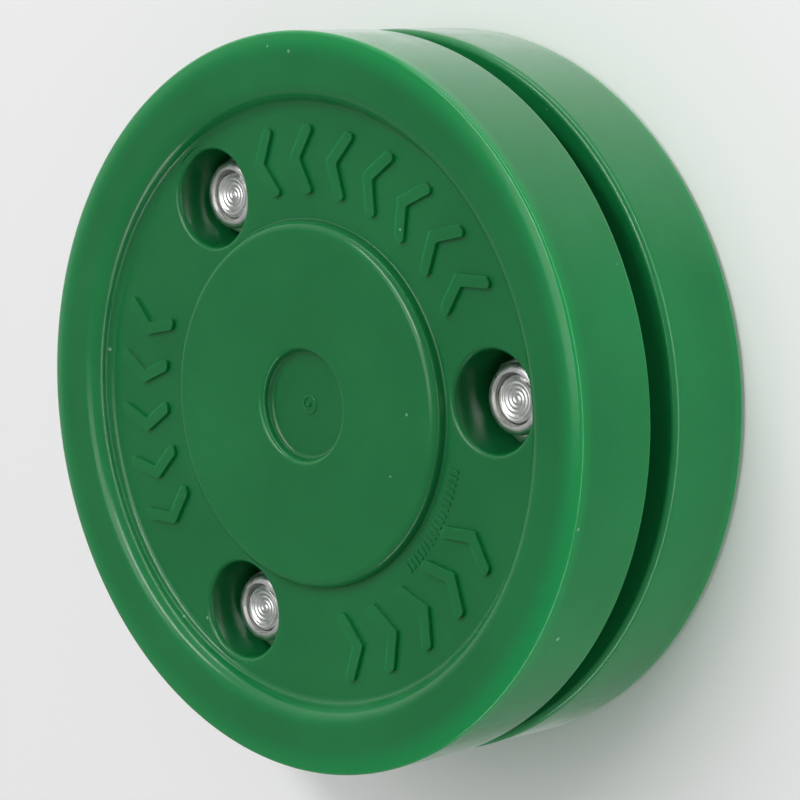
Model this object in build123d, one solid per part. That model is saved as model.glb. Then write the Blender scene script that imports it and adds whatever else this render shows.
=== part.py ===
from build123d import *
from math import cos, radians, sin, tan
import os

# Two-disc training puck for playing off the ice. Lengths are millimetres.
# The puck lies flat: +Z is its axis, the origin is the centre of its underside.
# Two identical moulded discs face each other across an open gap. Three screws
# with lock nuts hold them together with a little play, so the discs can float.

# Regulation outside size
puck_diameter = 76.2
puck_thickness = 25.4
disc_gap = 3.5

# Outer face of a disc: a flat ring around a sunken channel, then a central boss
rim_crown_width = 1.2
rim_crown_drop = 0.42
rim_crown_rounding = 5.2
rim_edge_rounding = 0.5
inner_edge_rounding = 0.8
channel_depth = 2.3
channel_wall_top_radius = 31.6
channel_wall_foot_radius = 31.05
channel_wall_top_rounding = 1.9
channel_wall_foot_rounding = 1.0
boss_depth = 0.8
boss_top_radius = 18.75
boss_foot_radius = 18.95
boss_top_rounding = 1.1
boss_foot_rounding = 0.25
dimple_radius = 5.7
dimple_depth = 1.3
dimple_rounding = 0.6

# Fastener pockets, sunk from the channel floor. The screws stand a little outwards in them.
fastener_count = 3
pocket_pitch_radius = 25.13
fastener_pitch_radius = 25.4
pocket_radius = 5.1
pocket_lip_rounding = 0.6
pocket_lip_land = 0.02
pocket_floor_rounding = 0.3
pocket_floor_height = 2.7
post_radius = 7.0
post_edge_rounding = 0.3
screw_hole_diameter = 5.5

# Raised chevrons on the channel floor, in the three sectors between the pockets
chevron_height = 0.45
chevron_inner_radius = 21.6
chevron_outer_radius = 28.6
chevron_sweep = 2.0
chevron_stroke = 1.4
chevron_root_depth = 0.5
chevron_step_deg = 12.0
chevrons_in_sector = (7, 5, 5)

# M5 hardware: cheese head screws 12 mm long, small washers and nylon lock nuts
screw_diameter = 5.0
screw_length = 12.0
screw_tip_chamfer = 0.5
head_diameter = 8.5
head_height = 3.3
head_crown_rounding = 1.2
cross_slot_length = 4.6
cross_slot_width = 1.1
cross_slot_depth = 2.0
washer_outer_diameter = 9.0
washer_inner_diameter = 5.3
washer_thickness = 1.0
nut_across_flats = 8.0
nut_height = 5.0
nut_hex_height = 3.4
nut_shoulder_diameter = 7.5
nut_corner_chamfer_deg = 30.0
nut_collar_diameter = 7.2
nut_collar_rounding = 0.8
nut_lip_diameter = 5.4
nut_lip_thickness = 0.5
nylon_diameter = 6.2
nylon_height = 1.2
thread_clearance = 0.03
nut_turns_deg = (14.0, 38.0, 22.0)

# Play between the screw heads' washers and the lower disc
float_gap = 0.9

# How far a cutter runs past the face it cuts through
overcut = 1.0

puck_radius = puck_diameter / 2
mid_height = puck_thickness / 2
channel_floor_height = mid_height - channel_depth
boss_height = mid_height - boss_depth
inner_face_height = disc_gap / 2
sector_deg = 360.0 / fastener_count

nut_seat_height = mid_height + pocket_floor_height
head_seat_height = mid_height - pocket_floor_height - float_gap


def revolved(*corners):
    """Solid of revolution about Z. Each corner is (radius, height, rounding)."""
    points = [(radius, height) for radius, height, _ in corners]
    roundings = [rounding for _, _, rounding in corners]
    outline = FilletPolyline(*points, radius=roundings, close=True)
    section = Plane.XZ * make_face(outline)
    return revolve(section, Axis.Z)


def places_around(pitch_radius):
    """One place for each fastener on a circle, counted from +X."""
    angles = [radians(index * sector_deg) for index in range(fastener_count)]
    return [Location((pitch_radius * cos(angle), pitch_radius * sin(angle), 0)) for angle in angles]


def disc_blank():
    """Turned shape of one disc, outer face up, with z = 0 on the puck's middle plane."""
    crown_start = puck_radius - rim_crown_width
    return revolved(
        (0, inner_face_height, 0),
        (puck_radius, inner_face_height, inner_edge_rounding),
        (puck_radius, mid_height - rim_crown_drop, rim_edge_rounding),
        (crown_start, mid_height, rim_crown_rounding),
        (channel_wall_top_radius, mid_height, channel_wall_top_rounding),
        (channel_wall_foot_radius, channel_floor_height, channel_wall_foot_rounding),
        (boss_foot_radius, channel_floor_height, boss_foot_rounding),
        (boss_top_radius, boss_height, boss_top_rounding),
        (dimple_radius, boss_height, dimple_rounding),
        (dimple_radius, boss_height - dimple_depth, dimple_rounding),
        (0, boss_height - dimple_depth, 0),
    )


def standoff_post():
    """Round post under a pocket. The posts of the two discs meet at z = 0."""
    return revolved(
        (0, 0, 0),
        (post_radius, 0, post_edge_rounding),
        (post_radius, inner_face_height + pocket_floor_height / 2, 0),
        (0, inner_face_height + pocket_floor_height / 2, 0),
    )


def pocket_cut():
    """Round pocket with a soft lip."""
    mouth_radius = pocket_radius + pocket_lip_rounding + pocket_lip_land
    return revolved(
        (0, pocket_floor_height, 0),
        (pocket_radius, pocket_floor_height, pocket_floor_rounding),
        (pocket_radius, channel_floor_height, pocket_lip_rounding),
        (mouth_radius, channel_floor_height, 0),
        (mouth_radius, mid_height, 0),
        (0, mid_height, 0),
    )


def screw_hole_cut():
    """Clearance hole through a pocket's floor."""
    return Cylinder(screw_hole_diameter / 2, 2 * (pocket_floor_height + overcut))


def chevron():
    """One raised V, its arms running across the channel floor."""
    middle_radius = (chevron_inner_radius + chevron_outer_radius) / 2
    half_stroke = chevron_stroke / 2
    outline = Polyline(
        (chevron_inner_radius, -half_stroke),
        (middle_radius, chevron_sweep - half_stroke),
        (chevron_outer_radius, -half_stroke),
        (chevron_outer_radius, half_stroke),
        (middle_radius, chevron_sweep + half_stroke),
        (chevron_inner_radius, half_stroke),
        close=True,
    )
    foot = Plane.XY.offset(channel_floor_height - chevron_root_depth)
    return extrude(foot * make_face(outline), chevron_height + chevron_root_depth)


def chevron_band():
    """All the chevrons, centred in each sector between two pockets."""
    mark = chevron()
    marks = []
    for sector, count in enumerate(chevrons_in_sector):
        sector_middle = (sector + 0.5) * sector_deg
        first = sector_middle - chevron_step_deg * (count - 1) / 2
        for index in range(count):
            marks.append(Rot(0, 0, first + index * chevron_step_deg) * mark)
    return marks


def make_disc():
    """One complete moulded disc, outer face up."""
    disc = disc_blank() + chevron_band()
    for place in places_around(pocket_pitch_radius):
        disc += place * standoff_post()
    for place in places_around(pocket_pitch_radius):
        disc -= place * pocket_cut()
    for place in places_around(fastener_pitch_radius):
        disc -= place * screw_hole_cut()
    return disc


def make_screw():
    """Cheese head machine screw, head down, its bearing face at z = 0."""
    screw_radius = screw_diameter / 2
    head_radius = head_diameter / 2
    body = revolved(
        (0, -head_height, 0),
        (head_radius, -head_height, head_crown_rounding),
        (head_radius, 0, 0),
        (screw_radius, 0, 0),
        (screw_radius, screw_length - screw_tip_chamfer, 0),
        (screw_radius - screw_tip_chamfer, screw_length, 0),
        (0, screw_length, 0),
    )
    slot = Box(cross_slot_length, cross_slot_width, cross_slot_depth)
    slot_middle = Pos(0, 0, cross_slot_depth / 2 - head_height)
    return body - slot_middle * slot - slot_middle * Rot(0, 0, 90) * slot


def make_washer():
    """Plain washer, its lower face at z = 0."""
    outer_radius = washer_outer_diameter / 2
    inner_radius = washer_inner_diameter / 2
    return revolved(
        (inner_radius, 0, 0),
        (outer_radius, 0, 0),
        (outer_radius, washer_thickness, 0),
        (inner_radius, washer_thickness, 0),
    )


def hex_chamfer_cone():
    """Cone that trims the hexagon's corners: a little below, down to its round shoulder above."""
    flat_radius = nut_across_flats / 2
    shoulder_radius = nut_shoulder_diameter / 2
    corner_radius = flat_radius / cos(radians(30))
    slope = tan(radians(nut_corner_chamfer_deg))
    return revolved(
        (0, 0, 0),
        (flat_radius, 0, 0),
        (corner_radius, (corner_radius - flat_radius) * slope, 0),
        (corner_radius, nut_hex_height - (corner_radius - shoulder_radius) * slope, 0),
        (shoulder_radius, nut_hex_height, 0),
        (0, nut_hex_height, 0),
    )


def make_lock_nut():
    """Hexagon lock nut with a round collar on top, crimped over its nylon ring."""
    hexagon = extrude(RegularPolygon(nut_across_flats / 2, 6, major_radius=False), nut_hex_height)
    collar_radius = nut_collar_diameter / 2
    collar = revolved(
        (0, nut_hex_height / 2, 0),
        (collar_radius, nut_hex_height / 2, 0),
        (collar_radius, nut_height, nut_collar_rounding),
        (0, nut_height, 0),
    )
    bore_radius = screw_diameter / 2 + thread_clearance
    ring_seat_height = nut_height - nut_lip_thickness - nylon_height
    bore = revolved(
        (0, -overcut, 0),
        (bore_radius, -overcut, 0),
        (bore_radius, ring_seat_height, 0),
        (nylon_diameter / 2, ring_seat_height, 0),
        (nylon_diameter / 2, ring_seat_height + nylon_height, 0),
        (nut_lip_diameter / 2, ring_seat_height + nylon_height, 0),
        (nut_lip_diameter / 2, nut_height + overcut, 0),
        (0, nut_height + overcut, 0),
    )
    return (hexagon & hex_chamfer_cone()) + collar - bore


def make_nylon_ring():
    """Nylon ring held in the nut's collar, in the nut's own frame."""
    ring_seat_height = nut_height - nut_lip_thickness - nylon_height
    bore_radius = screw_diameter / 2 + thread_clearance
    return revolved(
        (bore_radius, ring_seat_height, 0),
        (nylon_diameter / 2, ring_seat_height, 0),
        (nylon_diameter / 2, ring_seat_height + nylon_height, 0),
        (bore_radius, ring_seat_height + nylon_height, 0),
    )


def write(node, solid):
    export_step(solid, f"parts/{node}.step")


os.makedirs("parts", exist_ok=True)

disc = make_disc()
write("top_disc", Pos(0, 0, mid_height) * disc)
write("bottom_disc", Pos(0, 0, mid_height) * Rot(180, 0, 0) * disc)

for index, place in enumerate(places_around(fastener_pitch_radius)):
    number = index + 1
    turn = Rot(0, 0, nut_turns_deg[index])
    nut_place = place * Pos(0, 0, nut_seat_height) * turn
    head_place = place * Pos(0, 0, head_seat_height - washer_thickness) * turn
    write(f"lock_nut_{number}", nut_place * make_lock_nut())
    write(f"nylon_ring_{number}", nut_place * make_nylon_ring())
    write(f"head_washer_{number}", head_place * make_washer())
    write(f"screw_{number}", head_place * make_screw())
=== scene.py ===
import bmesh
import bpy
from math import acos, ceil, cos, pi, radians, sin, tan
from mathutils import Matrix, Vector


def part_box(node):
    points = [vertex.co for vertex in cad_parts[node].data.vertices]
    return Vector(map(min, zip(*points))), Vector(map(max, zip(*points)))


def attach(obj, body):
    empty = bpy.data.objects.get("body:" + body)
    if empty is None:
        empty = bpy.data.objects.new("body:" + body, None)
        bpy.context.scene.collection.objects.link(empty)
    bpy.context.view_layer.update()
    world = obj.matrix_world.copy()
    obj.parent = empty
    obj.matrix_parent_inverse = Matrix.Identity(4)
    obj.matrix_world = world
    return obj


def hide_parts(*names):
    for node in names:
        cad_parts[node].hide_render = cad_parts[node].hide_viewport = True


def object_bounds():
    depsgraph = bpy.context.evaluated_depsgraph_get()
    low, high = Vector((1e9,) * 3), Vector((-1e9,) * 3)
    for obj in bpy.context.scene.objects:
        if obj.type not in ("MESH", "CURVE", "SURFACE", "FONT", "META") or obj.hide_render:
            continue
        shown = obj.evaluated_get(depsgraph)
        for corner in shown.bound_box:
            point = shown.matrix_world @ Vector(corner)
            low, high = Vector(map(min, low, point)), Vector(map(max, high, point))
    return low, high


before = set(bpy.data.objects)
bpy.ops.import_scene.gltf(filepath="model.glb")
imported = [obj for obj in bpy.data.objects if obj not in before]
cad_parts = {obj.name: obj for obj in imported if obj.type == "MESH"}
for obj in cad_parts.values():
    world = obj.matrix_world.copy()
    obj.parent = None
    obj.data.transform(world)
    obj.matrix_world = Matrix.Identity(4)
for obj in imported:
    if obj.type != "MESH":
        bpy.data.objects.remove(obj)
cad_low, cad_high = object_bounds()

# Meshes are made in millimetres and scaled to metres when they are placed.
MM = 0.001

# ---------------------------------------------------------------- sizes, in millimetres

PUCK_RADIUS = cad_high.x / MM
PUCK_THICKNESS = (cad_high.z - cad_low.z) / MM
MID_HEIGHT = PUCK_THICKNESS / 2

DISC_GAP = 3.5
INNER_FACE = DISC_GAP / 2
RIM_CROWN_WIDTH = 1.2
RIM_CROWN_DROP = 0.42
RIM_CROWN_ROUNDING = 5.2
RIM_EDGE_ROUNDING = 0.5
INNER_EDGE_ROUNDING = 0.8
CHANNEL_DEPTH = 2.3
CHANNEL_FLOOR = MID_HEIGHT - CHANNEL_DEPTH
CHANNEL_WALL_TOP_RADIUS = 31.6
CHANNEL_WALL_FOOT_RADIUS = 31.05
CHANNEL_WALL_TOP_ROUNDING = 1.9
CHANNEL_WALL_FOOT_ROUNDING = 1.0
BOSS_TOP = MID_HEIGHT - 0.8
BOSS_TOP_RADIUS = 18.75
BOSS_FOOT_RADIUS = 18.95
BOSS_TOP_ROUNDING = 1.1
BOSS_FOOT_ROUNDING = 0.25
DIMPLE_RADIUS = 5.7
DIMPLE_FLOOR = BOSS_TOP - 1.3
DIMPLE_ROUNDING = 0.6

FASTENERS = (1, 2, 3)
POCKET_PITCH_RADIUS = 25.13
POCKET_RADIUS = 5.1
POCKET_LIP_ROUNDING = 0.6
POCKET_LIP_LAND = 0.02
POCKET_LIP_LIFT = 0.01
POCKET_FLOOR = 2.7
POCKET_FLOOR_ROUNDING = 0.3
POST_RADIUS = 7.0
POST_EDGE_ROUNDING = 0.3
SCREW_HOLE_RADIUS = 2.75

CHEVRON_HEIGHT = 0.45
CHEVRON_ROOT = 0.4
CHEVRON_INNER_RADIUS = 21.6
CHEVRON_OUTER_RADIUS = 28.6
CHEVRON_SWEEP = 2.0
CHEVRON_STROKE = 1.4
CHEVRON_STEP = radians(12)
CHEVRONS_IN_SECTOR = (7, 5, 5)
CHEVRON_ROUNDING = 0.45
CHEVRON_TOP_ROUNDING = 0.2

TICK_COUNT = 19
TICK_STEP = radians(1.9)
TICK_MIDDLE = radians(324)
TICK_INNER_RADIUS = 20.1
TICK_OUTER_RADIUS = 21.2
TICK_WIDTH = 0.22
TICK_HEIGHT = 0.15

GATE_RING_RADIUS = 0.85
GATE_RING_HEIGHT = 0.12
GATE_RING_HALF_WIDTH = 0.2
GATE_RING_ROUNDING = 0.1
GATE_STUB_FOOT_RADIUS = 0.35
GATE_STUB_TOP_RADIUS = 0.2
GATE_STUB_ROUNDING = 0.08

# How far a part that is joined on reaches into the part below it
ROOT_DEPTH = 0.3

SCREW_RADIUS = 2.5
SCREW_LENGTH = 12.0
SCREW_TIP_CHAMFER = 0.4
SCREW_TIP_RINGS = 9
SCREW_TIP_GROOVE = 0.09
SCREW_TIP_CUP = 0.25
THREAD_PITCH = 0.8
THREAD_DEPTH = 0.43
SHANK_ROOT = 0.5
# The thread's flank, as shares of a turn counted from the root
THREAD_FLANK_END = 0.45
THREAD_FLANK_WIDTH = 0.3
HEAD_RADIUS = 4.25
HEAD_HEIGHT = 3.3
HEAD_CROWN_ROUNDING = 1.2
CROSS_SLOT_LENGTH = 4.6
CROSS_SLOT_WIDTH = 1.1
CROSS_SLOT_DEPTH = 2.0
WASHER_RADIUS = 4.5
WASHER_HOLE_RADIUS = 2.65
WASHER_THICKNESS = 1.0
WASHER_EDGE_ROUNDING = 0.12
WASHER_HOLE_ROUNDING = 0.05
NUT_ACROSS_FLATS = 8.0
NUT_HEIGHT = 5.0
NUT_HEX_HEIGHT = 3.4
NUT_SHOULDER_RADIUS = 3.75
NUT_CORNER_ROUNDING = 0.2
NUT_COLLAR_RADIUS = 3.6
NUT_COLLAR_ROUNDING = 0.8
NUT_LIP_RADIUS = 2.7
NUT_LIP_THICKNESS = 0.5
NUT_BORE_RADIUS = 2.53
NYLON_RADIUS = 3.1
NYLON_HEIGHT = 1.2
NUT_TURNS = (radians(14), radians(38), radians(22))

OVERCUT = 1.0

# Painted edge glow, a brighter green painted where light would shine through the thin plastic: metres in
# from the rim and down from the outer face
EDGE_GLOW_REACH = 0.0027
EDGE_GLOW_CORE = 0.0009
EDGE_GLOW_DEPTH = 0.0019
EDGE_GLOW_SKIN = 0.0003

ROUND_STEPS = 360
SMALL_ROUND_STEPS = 96
ARC_STEP = radians(7)

# ---------------------------------------------------------------- studio, in metres

FLOOR_HALF_WIDTH = 3.0
FLOOR_DROP = 0.00005
BRIGHT_SIDE = (-0.55, 0.70, -0.45)
BRIGHT_FROM = 0.25
BRIGHT_TO = 0.9
STUDIO_DIM = 0.32
STUDIO_BRIGHT = 1.2


# ---------------------------------------------------------------- mesh tools

def rounded_outline(corners):
    """Closed outline as 2D points. Each corner is (x, y, rounding)."""
    points = []
    for index, (x, y, rounding) in enumerate(corners):
        corner = Vector((x, y))
        if rounding == 0:
            points.append(corner)
            continue
        before = (Vector(corners[index - 1][:2]) - corner).normalized()
        after = (Vector(corners[(index + 1) % len(corners)][:2]) - corner).normalized()
        half_angle = acos(before.dot(after)) / 2
        centre = corner + (before + after).normalized() * rounding / sin(half_angle)
        spoke = corner + before * rounding / tan(half_angle) - centre
        sweep = pi - 2 * half_angle
        steps = max(2, ceil(sweep / ARC_STEP))
        turn = sweep / steps if before.x * after.y - before.y * after.x < 0 else -sweep / steps
        for step in range(steps + 1):
            points.append(centre + Matrix.Rotation(step * turn, 2) @ spoke)
    return points


def new_object(name, bm):
    """Object from a bmesh, with its faces turned outwards."""
    bmesh.ops.recalc_face_normals(bm, faces=bm.faces)
    mesh = bpy.data.meshes.new(name)
    bm.to_mesh(mesh)
    bm.free()
    made = bpy.data.objects.new(name, mesh)
    bpy.context.scene.collection.objects.link(made)
    return made


def bridge(bm, ring, next_ring):
    """Faces between two rings of vertices. A ring of one vertex is a point on the axis."""
    count = max(len(ring), len(next_ring))
    if count == 1:
        return
    for index in range(count):
        following = (index + 1) % count
        around = [ring[index % len(ring)], ring[following % len(ring)]]
        around += [next_ring[following % len(next_ring)], next_ring[index % len(next_ring)]]
        bm.faces.new(list(dict.fromkeys(around)))


def turned(name, corners, steps=SMALL_ROUND_STEPS):
    """Solid of revolution about Z. Each corner is (radius, height, rounding)."""
    bm = bmesh.new()
    rings = []
    for radius, height in rounded_outline(corners):
        if radius < 1e-6:
            rings.append([bm.verts.new((0, 0, height))])
            continue
        angles = [2 * pi * step / steps for step in range(steps)]
        rings.append([bm.verts.new((radius * cos(a), radius * sin(a), height)) for a in angles])
    for index, ring in enumerate(rings):
        bridge(bm, rings[index - 1], ring)
    return new_object(name, bm)


def prism(name, outline, bottom, top, top_rounding=0):
    """Straight solid with the given outline, its upper edge rounded if asked."""
    bm = bmesh.new()
    lower = [bm.verts.new((x, y, bottom)) for x, y in outline]
    upper = [bm.verts.new((x, y, top)) for x, y in outline]
    bridge(bm, lower, upper)
    bm.faces.new(lower)
    lid = bm.faces.new(upper)
    if top_rounding:
        bmesh.ops.bevel(bm, geom=list(lid.edges), offset=top_rounding, segments=4, affect="EDGES")
    return new_object(name, bm)


def joined(name, parts):
    """One object from several, which are used up."""
    bm = bmesh.new()
    for part in parts:
        part.data.transform(part.matrix_basis)
        bm.from_mesh(part.data)
        bpy.data.objects.remove(part)
    mesh = bpy.data.meshes.new(name)
    bm.to_mesh(mesh)
    bm.free()
    made = bpy.data.objects.new(name, mesh)
    bpy.context.scene.collection.objects.link(made)
    return made


def combine(target, other, operation):
    """Boolean of two solids, kept in target. The other solid is used up."""
    other.data.transform(other.matrix_basis)
    other.matrix_basis = Matrix.Identity(4)
    boolean = target.modifiers.new("boolean", "BOOLEAN")
    boolean.operation = operation
    boolean.solver = "EXACT"
    boolean.object = other
    bpy.context.view_layer.update()
    evaluated = target.evaluated_get(bpy.context.evaluated_depsgraph_get())
    mesh = bpy.data.meshes.new_from_object(evaluated)
    target.modifiers.clear()
    target.data = mesh
    bpy.data.objects.remove(other)
    return target


def at(part, x=0, y=0, z=0, turn=0):
    """Moves a part, turned about Z by an angle first."""
    part.matrix_basis = Matrix.Translation((x, y, z)) @ Matrix.Rotation(turn, 4, "Z")
    return part


def place(part, name, body, node, material, matrix=None, sharp=radians(32)):
    """Scales a finished part to metres and makes it a piece that stands for a CAD node."""
    if matrix is not None:
        part.data.transform(matrix)
    part.data.transform(Matrix.Scale(MM, 4))
    part.name = name
    part.data.name = name
    part.data.materials.clear()
    part.data.materials.append(material)
    part.data.polygons.foreach_set("use_smooth", [True] * len(part.data.polygons))
    part.data.set_sharp_from_angle(angle=sharp)
    weighted = part.modifiers.new("weighted_normals", "WEIGHTED_NORMAL")
    weighted.keep_sharp = True
    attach(part, body)
    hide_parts(node)
    return part


def centre_of(node):
    """Middle of a CAD node seen from above, and its lowest height, in millimetres."""
    low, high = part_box(node)
    return (low.x + high.x) / 2 / MM, (low.y + high.y) / 2 / MM, low.z / MM


# ---------------------------------------------------------------- discs

def disc_blank():
    """Turned shape of one disc, outer face up, with z = 0 on the puck's middle plane."""
    return turned("disc", (
        (0, INNER_FACE, 0),
        (PUCK_RADIUS, INNER_FACE, INNER_EDGE_ROUNDING),
        (PUCK_RADIUS, MID_HEIGHT - RIM_CROWN_DROP, RIM_EDGE_ROUNDING),
        (PUCK_RADIUS - RIM_CROWN_WIDTH, MID_HEIGHT, RIM_CROWN_ROUNDING),
        (CHANNEL_WALL_TOP_RADIUS, MID_HEIGHT, CHANNEL_WALL_TOP_ROUNDING),
        (CHANNEL_WALL_FOOT_RADIUS, CHANNEL_FLOOR, CHANNEL_WALL_FOOT_ROUNDING),
        (BOSS_FOOT_RADIUS, CHANNEL_FLOOR, BOSS_FOOT_ROUNDING),
        (BOSS_TOP_RADIUS, BOSS_TOP, BOSS_TOP_ROUNDING),
        (DIMPLE_RADIUS, BOSS_TOP, DIMPLE_ROUNDING),
        (DIMPLE_RADIUS, DIMPLE_FLOOR, DIMPLE_ROUNDING),
        (0, DIMPLE_FLOOR, 0),
    ), ROUND_STEPS)


def standoff_post():
    """Round post under a pocket, rooted in the disc's inner face."""
    root = INNER_FACE + ROOT_DEPTH
    return turned("post", (
        (0, 0, 0),
        (POST_RADIUS, 0, POST_EDGE_ROUNDING),
        (POST_RADIUS, root, 0),
        (0, root, 0),
    ))


def pocket_cut():
    """Cutter for a round pocket with a soft lip."""
    mouth_radius = POCKET_RADIUS + POCKET_LIP_ROUNDING + POCKET_LIP_LAND
    return turned("pocket", (
        (0, POCKET_FLOOR, 0),
        (POCKET_RADIUS, POCKET_FLOOR, POCKET_FLOOR_ROUNDING),
        (POCKET_RADIUS, CHANNEL_FLOOR, POCKET_LIP_ROUNDING),
        (mouth_radius, CHANNEL_FLOOR + POCKET_LIP_LIFT, 0),
        (mouth_radius, MID_HEIGHT + OVERCUT, 0),
        (0, MID_HEIGHT + OVERCUT, 0),
    ))


def screw_hole_cut():
    """Cutter for the clearance hole through a pocket's floor."""
    return turned("hole", (
        (0, -OVERCUT, 0),
        (SCREW_HOLE_RADIUS, -OVERCUT, 0),
        (SCREW_HOLE_RADIUS, POCKET_FLOOR + OVERCUT, 0),
        (0, POCKET_FLOOR + OVERCUT, 0),
    ))


def chevron():
    """One raised V, its arms running across the channel floor."""
    middle_radius = (CHEVRON_INNER_RADIUS + CHEVRON_OUTER_RADIUS) / 2
    half_stroke = CHEVRON_STROKE / 2
    outline = rounded_outline((
        (CHEVRON_INNER_RADIUS, -half_stroke, CHEVRON_ROUNDING),
        (middle_radius, CHEVRON_SWEEP - half_stroke, CHEVRON_ROUNDING),
        (CHEVRON_OUTER_RADIUS, -half_stroke, CHEVRON_ROUNDING),
        (CHEVRON_OUTER_RADIUS, half_stroke, CHEVRON_ROUNDING),
        (middle_radius, CHEVRON_SWEEP + half_stroke, CHEVRON_ROUNDING),
        (CHEVRON_INNER_RADIUS, half_stroke, CHEVRON_ROUNDING),
    ))
    bottom = CHANNEL_FLOOR - CHEVRON_ROOT
    return prism("chevron", outline, bottom, CHANNEL_FLOOR + CHEVRON_HEIGHT, CHEVRON_TOP_ROUNDING)


def chevron_band():
    """All the chevrons, centred in each sector between two pockets."""
    sector_angle = 2 * pi / len(CHEVRONS_IN_SECTOR)
    marks = []
    for sector, count in enumerate(CHEVRONS_IN_SECTOR):
        first = (sector + 0.5) * sector_angle - CHEVRON_STEP * (count - 1) / 2
        marks += [at(chevron(), turn=first + index * CHEVRON_STEP) for index in range(count)]
    return marks


def tick_band():
    """Row of short raised ticks beside the boss."""
    half_width = TICK_WIDTH / 2
    outline = ((TICK_INNER_RADIUS, -half_width), (TICK_OUTER_RADIUS, -half_width),
               (TICK_OUTER_RADIUS, half_width), (TICK_INNER_RADIUS, half_width))
    first = TICK_MIDDLE - TICK_STEP * (TICK_COUNT - 1) / 2
    ticks = []
    for index in range(TICK_COUNT):
        tick = prism("tick", outline, CHANNEL_FLOOR - TICK_HEIGHT, CHANNEL_FLOOR + TICK_HEIGHT)
        ticks.append(at(tick, turn=first + index * TICK_STEP))
    return ticks


def gate_mark():
    """Ring and stub that the moulding gate left in the middle of the dimple."""
    bottom = DIMPLE_FLOOR - ROOT_DEPTH
    ring_top = DIMPLE_FLOOR + GATE_RING_HEIGHT
    stub_top = DIMPLE_FLOOR + 2 * GATE_RING_HEIGHT
    inner_radius = GATE_RING_RADIUS - GATE_RING_HALF_WIDTH
    outer_radius = GATE_RING_RADIUS + GATE_RING_HALF_WIDTH
    ring = turned("gate_ring", (
        (inner_radius, bottom, 0),
        (outer_radius, bottom, 0),
        (outer_radius, ring_top, GATE_RING_ROUNDING),
        (inner_radius, ring_top, GATE_RING_ROUNDING),
    ))
    stub = turned("gate_stub", (
        (0, bottom, 0),
        (GATE_STUB_FOOT_RADIUS, bottom, 0),
        (GATE_STUB_TOP_RADIUS, stub_top, GATE_STUB_ROUNDING),
        (0, stub_top, 0),
    ))
    return [ring, stub]


def fastener_spots():
    """Axes of the fasteners, as (x, y)."""
    return [centre_of(f"lock_nut_{number}")[:2] for number in FASTENERS]


def pocket_spots():
    """Axes of the pockets, a little nearer the middle than the fasteners, as (x, y)."""
    return [Vector(spot).normalized() * POCKET_PITCH_RADIUS for spot in fastener_spots()]


def make_disc():
    """One complete moulded disc, outer face up."""
    disc = disc_blank()
    posts = [at(standoff_post(), *spot) for spot in pocket_spots()]
    combine(disc, joined("raised", posts + chevron_band() + tick_band() + gate_mark()), "UNION")
    pockets = [at(pocket_cut(), *spot) for spot in pocket_spots()]
    combine(disc, joined("pockets", pockets), "DIFFERENCE")
    holes = [at(screw_hole_cut(), *spot) for spot in fastener_spots()]
    return combine(disc, joined("holes", holes), "DIFFERENCE")


# ---------------------------------------------------------------- fasteners

def thread_share(phase):
    """How far the thread is cut in, from 0 on the crest to 1 in the root, for a turn's phase."""
    away_from_root = abs(phase - 0.5)
    return min(1, max(0, (THREAD_FLANK_END - away_from_root) / THREAD_FLANK_WIDTH))


def threaded_rod():
    """Screw shank from under the head to the tip, with a real helical thread."""
    bm = bmesh.new()
    steps = 64
    rows_per_turn = 10
    run = SCREW_LENGTH + SHANK_ROOT
    rows = ceil(run / THREAD_PITCH * rows_per_turn)
    rings = []
    for row in range(rows + 1):
        height = run * row / rows - SHANK_ROOT
        tip_radius = SCREW_RADIUS - max(0, height - SCREW_LENGTH + SCREW_TIP_CHAMFER)
        ring = []
        for step in range(steps):
            angle = 2 * pi * step / steps
            phase = (height / THREAD_PITCH - step / steps) % 1
            radius = min(SCREW_RADIUS - THREAD_DEPTH * thread_share(phase), tip_radius)
            ring.append(bm.verts.new((radius * cos(angle), radius * sin(angle), height)))
        rings.append(ring)
    rings += end_face_rings(bm, steps)
    for ring, next_ring in zip(rings, rings[1:]):
        bridge(bm, ring, next_ring)
    bm.faces.new(rings[0])
    return new_object("rod", bm)


def end_face_rings(bm, steps):
    """Turned end of the screw: a shallow cup with a spiral tool mark."""
    edge_radius = SCREW_RADIUS - SCREW_TIP_CHAMFER
    rings = []
    for mark in range(1, SCREW_TIP_RINGS * 4):
        share = 1 - mark / (SCREW_TIP_RINGS * 4)
        ring = []
        for step in range(steps):
            angle = 2 * pi * step / steps
            groove = SCREW_TIP_GROOVE * (0.5 + 0.5 * cos(2 * pi * share * SCREW_TIP_RINGS / 2 + angle))
            depth = groove + SCREW_TIP_CUP * (1 - share ** 4)
            radius = edge_radius * share
            ring.append(bm.verts.new((radius * cos(angle), radius * sin(angle), SCREW_LENGTH - depth)))
        rings.append(ring)
    rings.append([bm.verts.new((0, 0, SCREW_LENGTH - SCREW_TIP_CUP))])
    return rings


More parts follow.
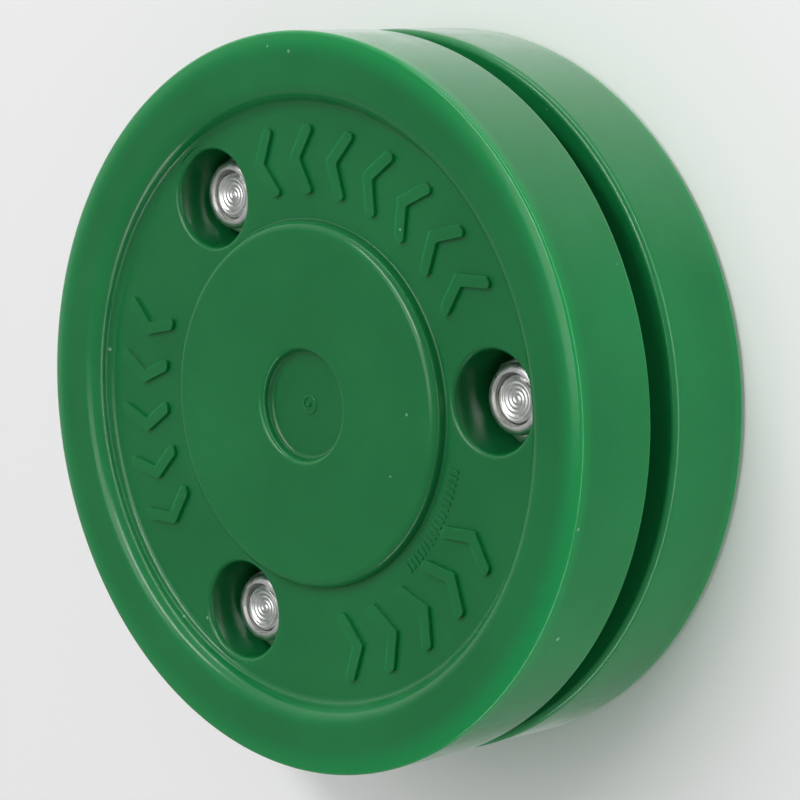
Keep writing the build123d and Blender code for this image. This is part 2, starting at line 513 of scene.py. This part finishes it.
def cross_recess():
    """Cutter for the cross recess: two tapered slots and a cone."""
    outer = -HEAD_HEIGHT - 0.2
    inner = CROSS_SLOT_DEPTH - HEAD_HEIGHT
    wings = []
    for turn in (0, pi / 2):
        bm = bmesh.new()
        ends = ((outer, CROSS_SLOT_LENGTH / 2, CROSS_SLOT_WIDTH / 2),
                (inner, CROSS_SLOT_LENGTH / 4, CROSS_SLOT_WIDTH / 3))
        rings = []
        for height, half_length, half_width in ends:
            spots = ((half_length, half_width), (-half_length, half_width),
                     (-half_length, -half_width), (half_length, -half_width))
            rings.append([bm.verts.new((x, y, height)) for x, y in spots])
        bridge(bm, *rings)
        for ring in rings:
            bm.faces.new(ring)
        wings.append(at(new_object("wing", bm), turn=turn))
    cone = turned("cone", (
        (0, outer, 0),
        (CROSS_SLOT_WIDTH, outer, 0),
        (CROSS_SLOT_WIDTH / 2, inner, 0),
        (0, inner + CROSS_SLOT_WIDTH / 4, 0),
    ), 32)
    return wings + [cone]


def make_screw():
    """Cheese head machine screw, head down, its bearing face at z = 0."""
    head = turned("head", (
        (0, -HEAD_HEIGHT, 0),
        (HEAD_RADIUS, -HEAD_HEIGHT, HEAD_CROWN_ROUNDING),
        (HEAD_RADIUS, 0, 0.15),
        (0, 0, 0),
    ))
    for cutter in cross_recess():
        combine(head, cutter, "DIFFERENCE")
    return combine(head, threaded_rod(), "UNION")


def make_washer():
    """Plain washer with softened edges, its lower face at z = 0."""
    return turned("washer", (
        (WASHER_HOLE_RADIUS, 0, WASHER_HOLE_ROUNDING),
        (WASHER_RADIUS, 0, WASHER_EDGE_ROUNDING),
        (WASHER_RADIUS, WASHER_THICKNESS, WASHER_EDGE_ROUNDING),
        (WASHER_HOLE_RADIUS, WASHER_THICKNESS, WASHER_HOLE_ROUNDING),
    ))


def make_lock_nut():
    """Hexagon lock nut with a round collar, crimped over its nylon ring."""
    corner_radius = NUT_ACROSS_FLATS / 2 / cos(pi / 6)
    corners = [(corner_radius * cos(k * pi / 3), corner_radius * sin(k * pi / 3), NUT_CORNER_ROUNDING)
               for k in range(6)]
    nut = prism("nut", rounded_outline(corners), 0, NUT_HEX_HEIGHT)
    flat_radius = NUT_ACROSS_FLATS / 2
    slope = tan(pi / 6)
    combine(nut, turned("chamfer", (
        (0, 0, 0),
        (flat_radius, 0, 0),
        (corner_radius, (corner_radius - flat_radius) * slope, 0),
        (corner_radius, NUT_HEX_HEIGHT - (corner_radius - NUT_SHOULDER_RADIUS) * slope, 0),
        (NUT_SHOULDER_RADIUS, NUT_HEX_HEIGHT, 0),
        (0, NUT_HEX_HEIGHT, 0),
    )), "INTERSECT")
    combine(nut, turned("collar", (
        (0, NUT_HEX_HEIGHT / 2, 0),
        (NUT_COLLAR_RADIUS, NUT_HEX_HEIGHT / 2, 0),
        (NUT_COLLAR_RADIUS, NUT_HEIGHT, NUT_COLLAR_ROUNDING),
        (0, NUT_HEIGHT, 0),
    )), "UNION")
    ring_top = NUT_HEIGHT - NUT_LIP_THICKNESS
    ring_seat = ring_top - NYLON_HEIGHT
    return combine(nut, turned("bore", (
        (0, -OVERCUT, 0),
        (NUT_BORE_RADIUS, -OVERCUT, 0),
        (NUT_BORE_RADIUS, ring_seat, 0),
        (NYLON_RADIUS, ring_seat, 0),
        (NYLON_RADIUS, ring_top, 0),
        (NUT_LIP_RADIUS, ring_top, 0),
        (NUT_LIP_RADIUS, NUT_HEIGHT + OVERCUT, 0),
        (0, NUT_HEIGHT + OVERCUT, 0),
    )), "DIFFERENCE")


def make_nylon_ring():
    """Nylon ring held in the nut's collar, in the nut's own frame."""
    ring_top = NUT_HEIGHT - NUT_LIP_THICKNESS
    ring_seat = ring_top - NYLON_HEIGHT
    return turned("nylon", (
        (NUT_BORE_RADIUS, ring_seat, 0),
        (NYLON_RADIUS, ring_seat, 0),
        (NYLON_RADIUS, ring_top, 0),
        (NUT_BORE_RADIUS, ring_top, 0.15),
    ))


# ---------------------------------------------------------------- materials

def new_material(name):
    material = bpy.data.materials.new(name)
    material.use_nodes = True
    return material, material.node_tree, material.node_tree.nodes["Principled BSDF"]


def add_node(tree, kind, **inputs):
    """New node with some of its inputs set. Names use _ for a space."""
    made = tree.nodes.new(kind)
    for name, value in inputs.items():
        made.inputs[name.replace("_", " ")].default_value = value
    return made


def noise_of(tree, scale, detail=3.0, roughness=0.5):
    """Noise over the object's own coordinates, in repeats per metre."""
    where = add_node(tree, "ShaderNodeTexCoord")
    noise = add_node(tree, "ShaderNodeTexNoise", Scale=scale, Detail=detail, Roughness=roughness)
    tree.links.new(where.outputs["Object"], noise.inputs["Vector"])
    return noise.outputs["Fac"]


def mapped(tree, value, from_low, from_high, to_low, to_high):
    """Value remapped and clamped."""
    made = add_node(tree, "ShaderNodeMapRange", From_Min=from_low, From_Max=from_high,
                    To_Min=to_low, To_Max=to_high)
    tree.links.new(value, made.inputs["Value"])
    return made.outputs["Result"]


def mixed(tree, share, first, second):
    """Colour between two, each a colour or a socket."""
    mix = tree.nodes.new("ShaderNodeMix")
    mix.data_type = "RGBA"
    tree.links.new(share, mix.inputs["Factor"])
    for socket, colour in ((mix.inputs[6], first), (mix.inputs[7], second)):
        if isinstance(colour, tuple):
            socket.default_value = (*colour, 1)
        else:
            tree.links.new(colour, socket)
    return mix.outputs[2]


def specks_of(tree, scale):
    """Mask of small sparse specks, in cells per metre. Fewer than one cell in three has one."""
    where = add_node(tree, "ShaderNodeTexCoord")
    cells = add_node(tree, "ShaderNodeTexVoronoi", Scale=scale)
    tree.links.new(where.outputs["Object"], cells.inputs["Vector"])
    split = tree.nodes.new("ShaderNodeSeparateColor")
    tree.links.new(cells.outputs["Color"], split.inputs["Color"])
    size = mapped(tree, split.outputs["Red"], 0.75, 1.0, 0.0, 0.07)
    inside = tree.nodes.new("ShaderNodeMath")
    inside.operation = "LESS_THAN"
    tree.links.new(cells.outputs["Distance"], inside.inputs[0])
    tree.links.new(size, inside.inputs[1])
    return inside.outputs["Value"]


def bump_from(tree, shader, height, strength, distance):
    bump = add_node(tree, "ShaderNodeBump", Strength=strength, Distance=distance)
    tree.links.new(height, bump.inputs["Height"])
    tree.links.new(bump.outputs["Normal"], shader.inputs["Normal"])


def painted_edge_glow(tree):
    """Mask of the two outer edges, where a brighter green is painted on as glow, standing in for light
    shining through the thin plastic.
    """
    where = tree.nodes.new("ShaderNodeTexCoord")
    split = tree.nodes.new("ShaderNodeSeparateXYZ")
    tree.links.new(where.outputs["Object"], split.inputs["Vector"])
    flat = tree.nodes.new("ShaderNodeCombineXYZ")
    tree.links.new(split.outputs["X"], flat.inputs["X"])
    tree.links.new(split.outputs["Y"], flat.inputs["Y"])
    radius = tree.nodes.new("ShaderNodeVectorMath")
    radius.operation = "LENGTH"
    tree.links.new(flat.outputs["Vector"], radius.inputs[0])
    rim = PUCK_RADIUS * MM
    near_rim = mapped(tree, radius.outputs["Value"], rim - EDGE_GLOW_REACH, rim - EDGE_GLOW_CORE, 0, 1)
    height = tree.nodes.new("ShaderNodeMath")
    height.operation = "SUBTRACT"
    tree.links.new(split.outputs["Z"], height.inputs[0])
    height.inputs[1].default_value = MID_HEIGHT * MM
    distance = tree.nodes.new("ShaderNodeMath")
    distance.operation = "ABSOLUTE"
    tree.links.new(height.outputs["Value"], distance.inputs[0])
    face = MID_HEIGHT * MM
    near_face = mapped(tree, distance.outputs["Value"], face - EDGE_GLOW_DEPTH, face - EDGE_GLOW_SKIN, 0, 1)
    both = tree.nodes.new("ShaderNodeMath")
    both.operation = "MULTIPLY"
    tree.links.new(near_rim, both.inputs[0])
    tree.links.new(near_face, both.inputs[1])
    return both.outputs["Value"]


def green_plastic():
    """Glossy moulded plastic, slightly translucent, with a painted glow along the outer edges, light scuffs
    and a few dust specks.
    """
    material, tree, shader = new_material("green_plastic")
    clouds = mapped(tree, noise_of(tree, 60), 0.35, 0.65, 0, 1)
    body = mixed(tree, clouds, (0.006, 0.165, 0.044), (0.008, 0.190, 0.052))
    # Painted edge glow: brighter green mixed in near the rim and outer faces, standing in for light through
    # thin plastic
    painted_glow_colour = mixed(tree, painted_edge_glow(tree), body, (0.003, 0.240, 0.060))
    scuffs = mapped(tree, noise_of(tree, 900, 8, 0.7), 0.68, 0.78, 0, 0.25)
    scuffed = mixed(tree, scuffs, painted_glow_colour, (0.05, 0.25, 0.11))
    dusty = mixed(tree, specks_of(tree, 330), scuffed, (0.16, 0.36, 0.24))
    tree.links.new(dusty, shader.inputs["Base Color"])
    gloss = mapped(tree, noise_of(tree, 250, 5), 0.3, 0.7, 0.16, 0.26)
    tree.links.new(gloss, shader.inputs["Roughness"])
    shader.inputs["IOR"].default_value = 1.47
    shader.inputs["Subsurface Weight"].default_value = 0.4
    shader.inputs["Subsurface Radius"].default_value = (0.2, 1.0, 0.4)
    shader.inputs["Subsurface Scale"].default_value = 0.0025
    bump_from(tree, shader, noise_of(tree, 700, 4), 0.04, 0.0003)
    return material


def zinc_steel():
    """Bright zinc-plated steel with faint tool marks and dull patches."""
    material, tree, shader = new_material("zinc_steel")
    patches = mapped(tree, noise_of(tree, 900, 4), 0.35, 0.65, 0, 1)
    tree.links.new(mixed(tree, patches, (0.82, 0.82, 0.80), (0.95, 0.95, 0.96)), shader.inputs["Base Color"])
    tree.links.new(mapped(tree, noise_of(tree, 1500, 5), 0.3, 0.7, 0.26, 0.46), shader.inputs["Roughness"])
    shader.inputs["Metallic"].default_value = 1.0
    bump_from(tree, shader, noise_of(tree, 2500, 4), 0.05, 0.0001)
    return material


def grey_nylon():
    """Translucent grey nylon, slightly uneven."""
    material, tree, shader = new_material("nylon")
    patches = mapped(tree, noise_of(tree, 1200), 0.35, 0.65, 0, 1)
    tree.links.new(mixed(tree, patches, (0.16, 0.17, 0.15), (0.28, 0.29, 0.26)), shader.inputs["Base Color"])
    shader.inputs["Roughness"].default_value = 0.45
    bump_from(tree, shader, noise_of(tree, 2000), 0.2, 0.0001)
    return material


# ---------------------------------------------------------------- the object

def build_puck():
    green = green_plastic()
    steel = zinc_steel()
    nylon = grey_nylon()
    upright = Matrix.Translation((0, 0, MID_HEIGHT))
    turned_over = upright @ Matrix.Rotation(pi, 4, "X")
    disc = make_disc()
    lower = disc.copy()
    lower.data = disc.data.copy()
    bpy.context.scene.collection.objects.link(lower)
    place(disc, "top_disc_moulded", "top_disc", "top_disc", green, upright)
    place(lower, "bottom_disc_moulded", "bottom_disc", "bottom_disc", green, turned_over)
    ring_seat = NUT_HEIGHT - NUT_LIP_THICKNESS - NYLON_HEIGHT
    for number, turn in zip(FASTENERS, NUT_TURNS):
        parts = (
            (make_lock_nut(), "lock_nut", steel, "zinc_steel", 0),
            (make_nylon_ring(), "nylon_ring", nylon, "nylon", ring_seat),
            (make_screw(), "screw", steel, "zinc_steel", -HEAD_HEIGHT),
            (make_washer(), "head_washer", steel, "zinc_steel", 0),
        )
        for part, kind, material, slot, lowest in parts:
            node = f"{kind}_{number}"
            x, y, bottom = centre_of(node)
            matrix = Matrix.Translation((x, y, bottom - lowest)) @ Matrix.Rotation(turn, 4, "Z")
            place(part, f"{node}_detailed", f"fastener_{number}", node, material, matrix)


# ---------------------------------------------------------------- stage, lights and camera

def build_floor():
    """Pale matt floor. The puck doesn't mirror it, so its sides mirror only the studio."""
    bm = bmesh.new()
    corners = ((-1, -1), (1, -1), (1, 1), (-1, 1))
    points = [(x * FLOOR_HALF_WIDTH, y * FLOOR_HALF_WIDTH, -FLOOR_DROP) for x, y in corners]
    bm.faces.new([bm.verts.new(point) for point in points])
    floor = new_object("floor", bm)
    material, tree, shader = new_material("floor")
    shader.inputs["Base Color"].default_value = (0.95, 0.95, 0.95, 1)
    shader.inputs["Roughness"].default_value = 0.9
    shader.inputs["Specular IOR Level"].default_value = 0.1
    floor.data.materials.append(material)
    floor.visible_glossy = False


def build_world():
    """White studio, brighter low on the far left side."""
    world = bpy.data.worlds.new("studio")
    world.use_nodes = True
    tree = world.node_tree
    where = tree.nodes.new("ShaderNodeTexCoord")
    side = add_node(tree, "ShaderNodeVectorMath")
    side.operation = "DOT_PRODUCT"
    tree.links.new(where.outputs["Generated"], side.inputs[0])
    side.inputs[1].default_value = BRIGHT_SIDE
    background = tree.nodes["Background"]
    background.inputs["Color"].default_value = (1, 1, 1, 1)
    strength = mapped(tree, side.outputs["Value"], BRIGHT_FROM, BRIGHT_TO, STUDIO_DIM, STUDIO_BRIGHT)
    tree.links.new(strength, background.inputs["Strength"])
    bpy.context.scene.world = world


def soft_box(name, direction, long_axis, distance, length, width, radiance):
    """Rectangular soft light that faces the puck, with its long side along an axis. Sizes are metres."""
    light = bpy.data.lights.new(name, "AREA")
    light.shape = "RECTANGLE"
    light.size = length
    light.size_y = width
    light.energy = radiance * pi * length * width
    lamp = bpy.data.objects.new(name, light)
    back = Vector(direction).normalized()
    up = back.cross(Vector(long_axis)).normalized()
    axes = Matrix((up.cross(back), up, back)).transposed().to_4x4()
    lamp.matrix_world = Matrix.Translation(back * distance) @ axes
    bpy.context.scene.collection.objects.link(lamp)


def build_lights():
    soft_box("key_strip", (0.06, 0.58, 0.81), (-0.78, 0.50, -0.37), 1.0, 0.80, 0.14, 10.0)
    soft_box("front_box", (0.00, 0.20, 0.98), (1, 0, 0), 1.2, 0.70, 0.70, 2.0)
    soft_box("right_strip", (1.00, 0.05, 0.09), (0, 1, 0), 1.0, 1.60, 0.14, 6.0)
    soft_box("upper_strip", (0.35, 0.93, 0.09), (1, 0, 0), 1.0, 1.20, 0.14, 6.0)
    soft_box("lower_strip", (0.35, -0.93, 0.09), (1, 0, 0), 1.0, 1.20, 0.14, 6.0)


CAMERA_AIM = Vector((1.4, -0.7, 11.4)) * MM
CAMERA_DISTANCE = 324.0 * MM
CAMERA_TILT = radians(44.11)
CAMERA_SWING = radians(3.62)
CAMERA_ROLL = radians(-4.13)
CAMERA_LENS = 139.0


def build_camera():
    """Camera tilted from the puck's axis towards +X, with +Y up in the picture."""
    camera = bpy.data.cameras.new("camera")
    camera.lens = CAMERA_LENS
    camera.sensor_width = 36
    eye = bpy.data.objects.new("camera", camera)
    back = Vector((sin(CAMERA_TILT) * cos(CAMERA_SWING), sin(CAMERA_SWING),
                   cos(CAMERA_TILT) * cos(CAMERA_SWING)))
    level_right = Vector((0, 1, 0)).cross(back).normalized()
    level_up = back.cross(level_right)
    right = level_right * cos(CAMERA_ROLL) + level_up * sin(CAMERA_ROLL)
    up = level_up * cos(CAMERA_ROLL) - level_right * sin(CAMERA_ROLL)
    axes = Matrix((right, up, back)).transposed().to_4x4()
    eye.matrix_world = Matrix.Translation(CAMERA_AIM + back * CAMERA_DISTANCE) @ axes
    camera.clip_start = 0.01
    camera.clip_end = 20
    bpy.context.scene.collection.objects.link(eye)
    bpy.context.scene.camera = eye


build_puck()
build_floor()
build_world()
build_lights()
build_camera()
bpy.context.scene.view_settings.view_transform = "Standard"
